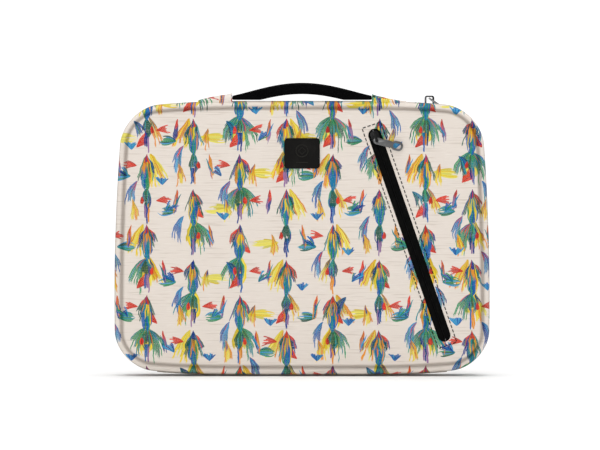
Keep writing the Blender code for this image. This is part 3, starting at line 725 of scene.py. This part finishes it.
LOOKS = {
    "printed": canvas("printed_canvas", True),
    "tape": plain_weave("cream_zip_tape", srgb(216, 205, 192), srgb(178, 166, 152), 1.1 * MM),
    "binding": plain_weave("cream_binding", srgb(206, 195, 182), srgb(170, 158, 144), 1.3 * MM),
    "lining": fleece("charcoal_lining", srgb(38, 38, 42), srgb(66, 66, 70)),
    "foam": foam("moulded_foam"),
    "coated": coated("coated_black_tape"),
    "coil": rubber("black_coil", srgb(20, 20, 20)),
    "pale_coil": rubber("pale_coil", srgb(150, 142, 132)),
    "rubber": rubber("black_rubber", srgb(20, 19, 18)),
    # Lighter rubber for the patch's raised emblem: a painted highlight on its ridges, so the low emboss shows.
    "rubber_painted_highlight": rubber("raised_rubber_painted_highlight", srgb(40, 39, 36)),
    "webbing": webbing("black_webbing"),
    "thread": plain_weave("black_thread", srgb(20, 20, 20), srgb(6, 6, 6), 0.5 * MM),
    "steel": metal("plain_steel", srgb(150, 150, 152), 0.3, 0.15, 0.2),
    "nickel": metal("bright_nickel", srgb(158, 158, 159), 0.12, 0.08, 0.2),
    "dark_nickel": metal("dark_nickel", srgb(70, 70, 71), 0.14, 0.08, 0.5),
    "gunmetal": metal("dark_gunmetal", srgb(104, 104, 104), 0.24, 0.12, 0.3),
    "black_metal": metal("black_metal", srgb(38, 38, 38), 0.3, 0.12, 0.5),
}


# ---- covers and linings
def swell(x, z, half_x, half_z):
    """Share of the dome's height at a point on a face, from 1 in its middle to 0 at its margin."""
    return max(0.0, 1 - (x / (half_x - DOME_MARGIN)) ** 2) * max(0.0, 1 - (z / (half_z - DOME_MARGIN)) ** 2)


def moulded(name, side, inset, face, edge, thickness, ridge=(), dome=0.0, grid=(26, 20)):
    """A nested shell layer: corners rounded, walls drawn up, edge rounded, then its face stepped."""
    piece = begin(bpy.ops.mesh.primitive_plane_add, size=1)
    width, height = 2 * (HALF_WIDTH - inset), 2 * (HALF_HEIGHT - inset)
    stretch(width, height, 1)
    bpy.ops.mesh.bevel(offset=CORNER_RADIUS - inset, segments=14, affect="VERTICES")
    bpy.ops.mesh.select_all(action="SELECT")
    bpy.ops.mesh.extrude_region_move(TRANSFORM_OT_translate={"value": (0, 0, face - RIM)})
    top = face - RIM
    near = 0.01 * MM
    pick("edges", lambda a, b: a.z > top - near and b.z > top - near)
    bpy.ops.mesh.bevel(offset=edge, segments=7, affect="EDGES")
    pick("faces", lambda centre, normal: centre.z > top - near and normal.z > 0.99)
    for step, depth in ridge:
        bpy.ops.mesh.inset(thickness=step * MM, depth=depth * MM)
    pick("faces", lambda centre, normal: centre.z < near and abs(normal.z) > 0.99)
    bpy.ops.mesh.delete(type="FACE")
    for axis, count, half in ((0, grid[0], width / 2), (1, grid[1], height / 2)):
        slice_all(axis, spread(-half, half, count))

    def place(co):
        x, z = eased(co.x, co.y + CASE_MIDDLE)
        return Vector((x, side * (RIM + co.z + dome * swell(co.x, co.y, width / 2, height / 2)), z))

    close_up(piece, name, place, angle=0)
    apply_modifier(piece, "SOLIDIFY", thickness=thickness, offset=-1)
    outward(piece)
    smooth(50)
    return piece


def from_edge(point):
    """How far inside the case's outline a point lies."""
    across = abs(point.x) / side_ease(point.z)
    high = abs(point.z - CASE_MIDDLE) / end_ease(across)
    corner = math.hypot(max(0.0, across - FLAT_X), max(0.0, high - FLAT_Z))
    beyond = min(0.0, max(across - FLAT_X, high - FLAT_Z))
    return CORNER_RADIUS - corner - beyond


def lay_cloth(piece, whole=False):
    """Cloth coordinates in metres: the front as it is seen, and the walls unrolled outwards from it."""
    mesh = piece.data
    # This "edge" distance drives the painted shade on the canvas, near the outline and along the groove. On
    # whole pieces it is half the distance from the handle's line, so the same darkening runs along the
    # shoulders' tops.
    edge = mesh.attributes.new("edge", "FLOAT", "POINT")
    for vertex in mesh.vertices:
        edge.data[vertex.index].value = abs(vertex.co.y - HANDLE_Y) / 2 if whole else from_edge(vertex.co)
    flat = mesh.uv_layers.new(name="cloth")
    radius = 7.0 * MM
    unrolled = []
    for vertex in mesh.vertices:
        point = vertex.co
        fall = max(0.0, FACE - abs(point.y))
        bend = min(fall, radius)
        turn = math.acos(max(-1.0, min(1.0, 1 - bend / radius)))
        extra = radius * turn - radius * math.sin(turn) + max(0.0, fall - radius)
        out = Vector((point.x, point.z - CASE_MIDDLE))
        core = Vector((max(-FLAT_X, min(FLAT_X, out.x)), max(-FLAT_Z, min(FLAT_Z, out.y))))
        way = out - core
        way = way.normalized() if way.length > 1e-6 else Vector((0, 0))
        unrolled.append((point.x + way.x * extra, point.z + way.y * extra))
    for loop in mesh.loops:
        flat.data[loop.index].uv = unrolled[loop.vertex_index]


def slot_tool(length, width, low, high, corner):
    """A long round-cornered block to cut with, along the slanting zip."""
    piece = begin(bpy.ops.mesh.primitive_cube_add, size=1)
    stretch(width, high - low, length)
    pick("edges", lambda a, b: abs(a.y - b.y) > 0.5 * (high - low))
    bpy.ops.mesh.bevel(offset=corner, segments=12, affect="EDGES")
    middle = Vector((0, (low + high) / 2, 0))
    return close_up(piece, "slot_tool", lambda co: POCKET_FRAME @ (co + middle), angle=0)


def layer_face(node):
    """How far a layer's outer face lies from the plane where the halves meet."""
    low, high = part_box(node)
    return max(abs(low.y), abs(high.y))


GROOVE = ((0.35, -0.1), (0.8, -0.65), (0.55, -0.6), (0.35, -0.1), (0.35, 0.1), (0.55, 0.6), (0.9, 0.6),
          (1.2, 0.15))


def face_depth(x, z):
    """Depth of the domed front face at a point."""
    return -(FACE + DOME * swell(x, z - CASE_MIDDLE, HALF_WIDTH, HALF_HEIGHT))


def make_covers():
    for side, word, body in HALVES:
        piece = moulded(word + "_canvas", side, 0.0, FACE, COVER_EDGE, COVER_THICKNESS, GROOVE, DOME,
                        (34, 26))
        if side < 0:
            cut(piece, slot_tool(POCKET_LENGTH, POCKET_MOUTH, -FACE - 5 * MM, -FACE + 3 * MM,
                                 POCKET_MOUTH / 2 - 0.01 * MM), 50)
        lay_cloth(piece)
        dress(piece, LOOKS["printed"], body, [word + "_cover"])


def make_shells():
    """Moulded foam under the canvas, pressed in along the same groove."""
    for side, word, body in HALVES:
        face = layer_face(word + "_shell")
        piece = moulded(word + "_foam", side, SHELL_INSET, face, 4.2 * MM, 3.8 * MM, GROOVE, 0.0)
        if side < 0:
            length, width = POCKET_LENGTH + 8.4 * MM, POCKET_MOUTH + 8.0 * MM
            cut(piece, slot_tool(length, width, -face - 5 * MM, -face + 8 * MM, 2.0 * MM), 50)
        dress(piece, LOOKS["foam"], body, [word + "_shell"])


def make_linings():
    for side, word, body in HALVES:
        node = word + "_lining"
        piece = moulded(word + "_fleece", side, LINING_INSET, layer_face(node), 1.5 * MM, 1.0 * MM)
        dress(piece, LOOKS["lining"], body, [node])


# ---- edges: binding, zip and hinge
def make_edges():
    for side, word, body in HALVES:
        deep = layer_face(word + "_binding")

        def inner_edge(a, b):
            inset = BINDING_INSET + 0.4 * MM + 0.25 * MM * math.sin(math.pi * b)
            return on_case(a, inset, side * (RIM + (deep - RIM) * b))

        binding = strip(word + "_edge_tape", inner_edge, 260, 4, 0.7 * MM)
        dress(binding, LOOKS["binding"], body, [word + "_binding"])

        def tape(a, b):
            share = ZIP_START + (ZIP_END - ZIP_START) * a
            if b < 0.5:
                inset, depth = TRACK_INSET, TAPE_OUTER + (TAPE_INNER - TAPE_OUTER) * b * 2
            else:
                inset, depth = TRACK_INSET + TAPE_LAP * (b - 0.5) * 2, TAPE_FOLD
            return on_case(share, inset, side * depth, TRACK_LEVEL)

        ribbon = strip(word + "_zip_ribbon", tape, 260, 6, 0.55 * MM)
        dress(ribbon, LOOKS["tape"], body, [word + "_zip_tape"])
        make_coil(word, side, body)


def make_coil(word, side, body):
    """Nylon coil: one small rounded loop repeated along the edge of the tape."""
    loop = begin(bpy.ops.mesh.primitive_cylinder_add, vertices=8, radius=0.5, depth=1)
    stretch(*COIL_LOOP)
    pick("faces", lambda centre, normal: abs(normal.z) > 0.9)
    bpy.ops.mesh.inset(thickness=0.3 * MM, depth=0.15 * MM)
    close_up(loop, "coil_loop", lambda co: Vector((co.x, co.z, co.y)))
    length = AROUND * (ZIP_END - ZIP_START)
    count = int(length / TEETH_PITCH)
    places = []
    for k in range(count):
        share = ZIP_START + (ZIP_END - ZIP_START) * (k + (0.25 if side < 0 else 0.75)) / count
        here = on_case(share, TRACK_INSET, side * COIL_DEPTH, TRACK_LEVEL)
        ahead = on_case(share + 0.0005, TRACK_INSET, side * COIL_DEPTH, TRACK_LEVEL)
        turn = math.atan2(-(ahead - here).z, (ahead - here).x)
        places.append(Matrix.Translation(here) @ Matrix.Rotation(turn, 4, "Y"))
    coil = repeated(loop, places, word + "_coil")
    dress(coil, LOOKS["pale_coil"], body, [word + "_zip_teeth"])


def make_hinge():
    """Gusset that follows the bowed bottom edges."""
    half, width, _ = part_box("hinge_gusset")[1]
    reach = width * GUSSET_SHARE

    def gusset(a, b):
        x = -half + 2 * half * a
        under = eased(x, CASE_LOW)[1]
        return Vector((x, reach * (2 * b - 1), under - GUSSET_DROP))

    cloth = strip("gusset_cloth", gusset, 80, 40, 0.7 * MM)
    cloth.data.materials.clear()
    cloth.data.materials.append(LOOKS["binding"])
    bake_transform(cloth)
    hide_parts("hinge_gusset")


# ---- handle
def handle_section(along):
    """Middle height, half height and half width of the grip, by share of its half length."""
    wave = max(0.0, math.cos(math.pi * along / 2)) ** HANDLE_CURVE
    top = CASE_TOP + HANDLE_END + HANDLE_RISE * wave
    low = max(top - HANDLE_DEPTH, CASE_TOP + HANDLE_CLEARANCE)
    return (top + low) / 2, (top - low) / 2, HANDLE_HALF_WIDTH * (0.92 + 0.08 * wave)


def squared(cos, sin):
    """Reach of a rounded square in a direction, 1 along its axes."""
    return (abs(cos) ** HANDLE_SQUARENESS + abs(sin) ** HANDLE_SQUARENESS) ** (-1 / HANDLE_SQUARENESS)


def make_handle():
    bar = lying_cylinder(40, 0.12, 70)

    def place(co):
        along = max(-1.0, min(1.0, co.x))
        middle, half_height, half_width = handle_section(along)
        size = max(1e-6, math.hypot(co.y, co.z))
        cos, sin = co.y / size, co.z / size
        end = 1 - 0.1 * max(0.0, abs(along) - 0.985) / 0.015
        reach = min(1.0, size) * squared(cos, sin) * end
        return Vector((along * HALF_HANDLE, HANDLE_Y + half_width * reach * cos,
                       middle + half_height * reach * sin))

    close_up(bar, "padded_grip", place, angle=60)
    dress(bar, LOOKS["webbing"], "handle", ["handle_grip"])

    # A raised seam runs along the front upper edge.
    def seam(a, b):
        along = -0.97 + 1.94 * a
        middle, half_height, half_width = handle_section(along)
        turn = math.radians(28 + 14 * b)
        cos, sin = math.cos(turn), math.sin(turn)
        lift = 0.25 * MM * math.sin(math.pi * b)
        return Vector((along * HALF_HANDLE, HANDLE_Y - (half_width * squared(cos, sin) + lift) * cos,
                       middle + (half_height * squared(cos, sin) + lift) * sin))

    fold = strip("grip_seam", seam, 90, 4, 0.3 * MM)
    dress(fold, LOOKS["webbing"], "handle")


def shoulder_height(side, share):
    """How far a shoulder stands above the rim, from its tip to its mouth."""
    if side < 0:
        return (0.9 + 5.6 * share ** 0.75) * MM
    return (0.2 + 5.6 * share ** 1.5) * MM


def make_shoulders():
    """Padded canvas sleeves that rise from the top edge to hold the handle's ends."""
    for side, word in ((-1, "left"), (1, "right")):
        low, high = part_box(word + "_shoulder")
        mouth, tip = (high.x, low.x) if side < 0 else (low.x, high.x)
        mouth = mouth + side * 0.3 * MM
        piece = lying_cylinder(36, 0.06, 30)

        def place(co):
            share = (1 - side * co.x) / 2
            x = tip + (mouth - tip) * share
            height = shoulder_height(side, share)
            size = math.hypot(co.y, co.z)
            pucker = 1 + 0.05 * math.sin(share * 21) * share * (1 - share) * 2
            cuff = 1 + 0.07 * math.exp(-((1 - share) / 0.05) ** 2)
            y = SHOULDER_Y + SHOULDER_HALF_WIDTH * co.y * (0.82 + 0.18 * share)
            up = co.z * (height + 0.3 * MM) * pucker * cuff if co.z > 0 else co.z * SHOULDER_SINK
            rim = min(eased(x, CASE_TOP)[1], CASE_TOP)
            base = rim * (1 - share) + CASE_TOP * share if size > 0.5 else CASE_TOP
            return Vector((x, y, base + up))

        close_up(piece, word + "_shoulder_canvas", place, angle=60)
        hole = begin(bpy.ops.mesh.primitive_cylinder_add, vertices=28, radius=1, depth=2,
                     rotation=(0, math.pi / 2, 0))
        middle, half_height, half_width = handle_section(1.0)

        def opening(co):
            return Vector((mouth + co.x * MOUTH_DEPTH, HANDLE_Y + co.y * (half_width + MOUTH_EASE),
                           middle + co.z * (half_height + MOUTH_EASE)))

        close_up(hole, "mouth_tool", opening, angle=0)
        cut(piece, hole, 60)
        lay_cloth(piece, whole=True)
        dress(piece, LOOKS["printed"], "front_half", [word + "_shoulder"])


# ---- patch
def make_patch():
    """Moulded rubber patch with a raised rim and a plain ring, diamond and bar embossed on it."""
    centre = (PATCH_LOW + PATCH_HIGH) / 2
    width, height = PATCH_HIGH.x - PATCH_LOW.x, PATCH_HIGH.z - PATCH_LOW.z
    back = face_depth(centre.x, centre.z + height / 2) + 0.15 * MM
    piece = begin(bpy.ops.mesh.primitive_plane_add, size=1)
    stretch(width, height, 1)
    bpy.ops.mesh.bevel(offset=PATCH_CORNER, segments=8, affect="VERTICES")
    bpy.ops.mesh.select_all(action="SELECT")
    bpy.ops.mesh.extrude_region_move(TRANSFORM_OT_translate={"value": (0, 0, PATCH_THICKNESS)})
    pick("faces", lambda middle, normal: abs(normal.z) > 0.9 and middle.z > PATCH_THICKNESS / 2)
    for step, depth in ((0.3, 0.22), (0.6, 0.0), (0.25, -0.3), (0.3, -0.05)):
        bpy.ops.mesh.inset(thickness=step * MM, depth=depth * MM)

    def stand(co):
        return Vector((centre.x + co.x, back - co.z, centre.z + co.y))

    close_up(piece, "rubber_patch", stand, angle=40)
    dress(piece, LOOKS["rubber"], "front_half", ["logo_patch"])
    level = PATCH_THICKNESS - 0.08 * MM

    def raised(made, name, shift):
        return close_up(made, name, lambda co: stand(co + Vector((0, shift, level))), angle=50)

    def ridge(sides, radius, width):
        bpy.ops.object.select_all(action="DESELECT")
        bpy.ops.mesh.primitive_torus_add(major_segments=sides, minor_segments=10, major_radius=radius,
                                         minor_radius=width)
        return raised(bpy.context.object, "ridge", 2.4 * MM)

    bar = begin(bpy.ops.mesh.primitive_cylinder_add, vertices=10, radius=0.45 * MM, depth=11 * MM,
                rotation=(0, math.pi / 2, 0))
    bpy.ops.object.mode_set(mode="OBJECT")
    apply_modifier(bar, "BEVEL", width=0.2 * MM, segments=2, limit_method="ANGLE",
                   angle_limit=math.radians(60))
    raised(bar, "bar", -8.5 * MM)
    emblem = join([ridge(56, 5.6 * MM, 0.5 * MM), ridge(4, 3.4 * MM, 0.45 * MM), bar], "patch_emblem")
    # The emblem's lighter rubber is a painted highlight on the raised ring, diamond and bar.
    dress(emblem, LOOKS["rubber_painted_highlight"], "front_half")


# ---- slanting pocket
def make_pocket():
    radius = POCKET_MOUTH / 2

    def round_slot(a, reach):
        """Point on a round-ended slot, in the pocket's frame, by share of its way round."""
        straight = POCKET_LENGTH - POCKET_MOUTH
        lap = 2 * straight + math.tau * radius
        way = (a % 1.0) * lap
        if way < straight:
            return Vector((reach, 0, -straight / 2 + way))
        way -= straight
        if way < math.pi * radius:
            turn = way / radius
            return Vector((reach * math.cos(turn), 0, straight / 2 + reach * math.sin(turn)))
        way -= math.pi * radius
        if way < straight:
            return Vector((-reach, 0, straight / 2 - way))
        turn = (way - straight) / radius
        return Vector((-reach * math.cos(turn), 0, -straight / 2 - reach * math.sin(turn)))

    def welt(a, b):
        turn = math.tau * b
        spot = POCKET_FRAME @ round_slot(a, radius + 0.35 * MM + 0.75 * MM * math.cos(turn))
        depth = face_depth(spot.x, spot.z) + 0.25 * MM - 0.5 * MM * math.sin(turn)
        return Vector((spot.x, depth, spot.z))

    edge = strip("pocket_folded_edge", welt, 220, 10, 0.0)
    lay_cloth(edge)
    dress(edge, LOOKS["printed"], "front_half")

    for side, word in ((-1, "left"), (1, "right")):
        def tape(a, b):
            x = side * (0.3 + POCKET_RIBBON * b) * MM
            z = (2 * a - 1) * (POCKET_LENGTH / 2 + POCKET_RIBBON_LAP)
            sink = 0.5 * MM * math.exp(-(b * POCKET_RIBBON / 1.1) ** 2)
            spot = POCKET_FRAME @ Vector((x, 0, z))
            return Vector((spot.x, -(FACE - POCKET_SINK) + sink, spot.z))

        ribbon = strip("pocket_ribbon_" + word, tape, 60, 14, 0.5 * MM)
        dress(ribbon, LOOKS["coated"], "front_half", ["pocket_tape_" + word])

    make_stitches()


def make_stitches():
    """Dashed black stitching in a long frame round the pocket's mouth."""
    stitch = begin(bpy.ops.mesh.primitive_cylinder_add, vertices=8, radius=0.5, depth=1)
    stretch(0.95 * MM, 0.6 * MM, 2.7 * MM)
    pick("faces", lambda centre, normal: abs(normal.z) > 0.9)
    bpy.ops.mesh.inset(thickness=0.22 * MM, depth=0.18 * MM)
    close_up(stitch, "stitch", None, angle=60)
    corners = [Vector((x * STITCH_X, 0, z * STITCH_Z)) for x, z in ((-1, -1), (1, -1), (1, 1), (-1, 1))]
    places = []
    for start, end in zip(corners, corners[1:] + corners[:1]):
        run = end - start
        count = max(2, round(run.length / STITCH_PITCH))
        lean = math.atan2(run.x, run.z)
        for k in range(count):
            spot = POCKET_FRAME @ (start + run * ((k + 0.5) / count))
            spot.y = face_depth(spot.x, spot.z) - 0.08 * MM
            places.append(Matrix.Translation(spot) @ Matrix.Rotation(POCKET_LEAN + lean, 4, "Y"))
    dress(repeated(stitch, places, "pocket_stitches"), LOOKS["thread"], "front_half")


# ---- keep the frame's own pieces, better finished
KEPT = {
    "zip_stop_left": "steel", "zip_stop_right": "steel",
    "pocket_coil_left": "coil", "pocket_coil_right": "coil", "pocket_stop_top": "steel",
    "pocket_stop_bottom": "steel", "pocket_bag": "lining", "handle_core": "steel",
}
HARDWARE = {
    "main_slider": ("dark_nickel", 0.35 * MM, "zip_slider"), "main_pull": ("nickel", 0.3 * MM, "zip_pull"),
    "pocket_slider": ("black_metal", 0.35 * MM, "pocket_zip_slider"),
    "pocket_pull": ("gunmetal", 0.35 * MM, "pocket_zip_pull"),
}


def make_hardware():
    """Sliders and pulls with their edges rounded as by tumbling."""
    for node, (look, width, body) in HARDWARE.items():
        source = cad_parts[node]
        piece = bpy.data.objects.new(node + "_cast", source.data.copy())
        bpy.context.scene.collection.objects.link(piece)
        outward(piece)
        apply_modifier(piece, "BEVEL", width=width, segments=3, limit_method="ANGLE",
                       angle_limit=math.radians(35), harden_normals=False)
        outward(piece)
        smooth(50)
        dress(piece, LOOKS[look], body, [node])


def finish_kept():
    for node, look in KEPT.items():
        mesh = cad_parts[node].data
        mesh.materials.clear()
        mesh.materials.append(LOOKS[look])


# ---- studio
def make_studio():
    """A bright backdrop straight behind, a dim room round it and soft lamps in front."""
    world = bpy.data.worlds.new("studio")
    bpy.context.scene.world = world
    world.use_nodes = True
    sky = Shader(world.node_tree)
    _, ahead, up = sky.axes(sky.node("TexCoord").outputs["Generated"])
    behind = sky.node("MapRange", {"interpolation_type": "SMOOTHSTEP"},
                      {"Value": ahead, "From Min": 0.86, "From Max": 0.96})
    above = sky.node("MapRange", None, {"Value": up, "From Max": 0.8, "To Min": ROOM, "To Max": CEILING})
    glow = sky.node("Mix", None, {"Factor": behind.outputs[0], "A": above.outputs[0], "B": BACKDROP})
    background = world.node_tree.nodes["Background"]
    sky.plug((1, 1, 1), background.inputs["Color"])
    sky.plug(glow.outputs["Result"], background.inputs["Strength"])

    floor = begin(bpy.ops.mesh.primitive_plane_add, size=80)
    close_up(floor, "floor", lambda co: Vector((co.x, co.y, frame_box[0][2] - 0.4 * MM)), angle=0, flip=False)
    paper = Look("pale_floor", Base_Color=(0.9, 0.9, 0.9), Roughness=0.9)
    grain = paper.noise(paper.place(), 30.0)
    paper.feed("Base Color", paper.mix(grain * 0.05, (0.92, 0.92, 0.92), (0.86, 0.86, 0.86)))
    floor.data.materials.append(paper.material)

    def lamp(name, kind, place, aim, energy, **settings):
        light = bpy.data.lights.new(name, kind)
        light.energy = energy
        for key, value in settings.items():
            setattr(light, key, value)
        made = bpy.data.objects.new(name, light)
        bpy.context.scene.collection.objects.link(made)
        made.location = place
        made.rotation_euler = (Vector(aim) - Vector(place)).to_track_quat("-Z", "Y").to_euler()

    lamp("overhead", "SUN", (0, 0, 3), (0, 0.05, 0), 1.6, angle=math.radians(40))
    lamp("key", "AREA", (-0.5, -2.4, 0.8), (0, 0, 0.13), 9.0, size=0.6)
    lamp("fill", "AREA", (1.5, -1.8, 0.5), (0, 0, 0.13), 2.0, size=0.8)

    lens = bpy.data.cameras.new("camera")
    lens.sensor_width = SENSOR
    lens.lens = SENSOR * CAMERA_DISTANCE / VIEW_WIDTH
    lens.clip_start = 0.05
    camera = bpy.data.objects.new("camera", lens)
    bpy.context.scene.collection.objects.link(camera)
    camera.location = (CAMERA_X, -FACE - CAMERA_DISTANCE, CAMERA_Z)
    camera.rotation_euler = (math.pi / 2, 0, 0)
    bpy.context.scene.camera = camera
    bpy.context.scene.view_settings.view_transform = "Standard"


for make in (make_studio, make_covers, make_shells, make_linings, make_edges, make_hinge, make_handle,
             make_shoulders, make_patch, make_pocket, make_hardware, finish_kept):
    make()
